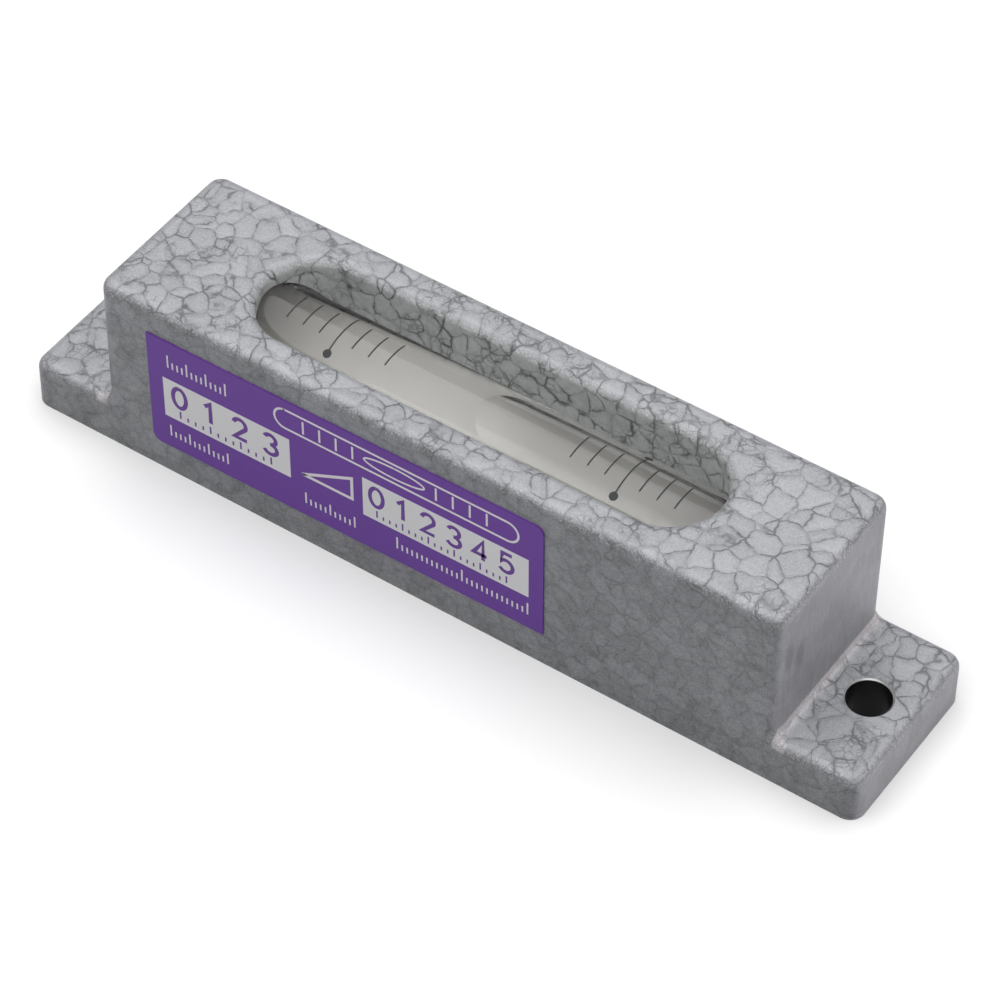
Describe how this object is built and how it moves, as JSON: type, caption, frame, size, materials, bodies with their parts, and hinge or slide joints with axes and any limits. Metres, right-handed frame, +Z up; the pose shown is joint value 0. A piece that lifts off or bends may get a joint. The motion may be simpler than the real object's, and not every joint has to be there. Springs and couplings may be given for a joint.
{
  "type": "precision machinist level",
  "caption": "Screw-on precision level for machines: an iron block on a flanged base, with a long graduated vial in a round-ended window.",
  "frame": {"origin": "middle of the machined base plane, half-way between the two bolt holes", "axes": "+X along the level and its vial, +Z up out of the base, name plate on the -Y side"},
  "size_m": [0.1, 0.0204, 0.0224],
  "materials": {
    "painted_iron": "silver-grey hammered enamel on cast iron",
    "vial_glass": "clear ground glass",
    "spirit": "clear liquid",
    "bubble": "clear vapour",
    "plaster": "matt white plaster",
    "cover_steel": "brushed",
    "screw_steel": "turned",
    "name_plate": "purple enamel on thin aluminium"
  },
  "bodies": {
    "level": {"body_casting": "painted_iron", "vial_tube": "vial_glass", "vial_spirit": "spirit", "plaster_bed": "plaster", "base_cover": "cover_steel", "cover_screws": "screw_steel", "name_plate": "name_plate"},
    "bubble": {"vapour_bubble": "bubble"}
  },
  "joints": [
    {"name": "bubble_travel", "type": "slide", "parent": "level", "child": "bubble", "axis": [1, 0, 0], "range_m": [-0.031, 0]}
  ]
}
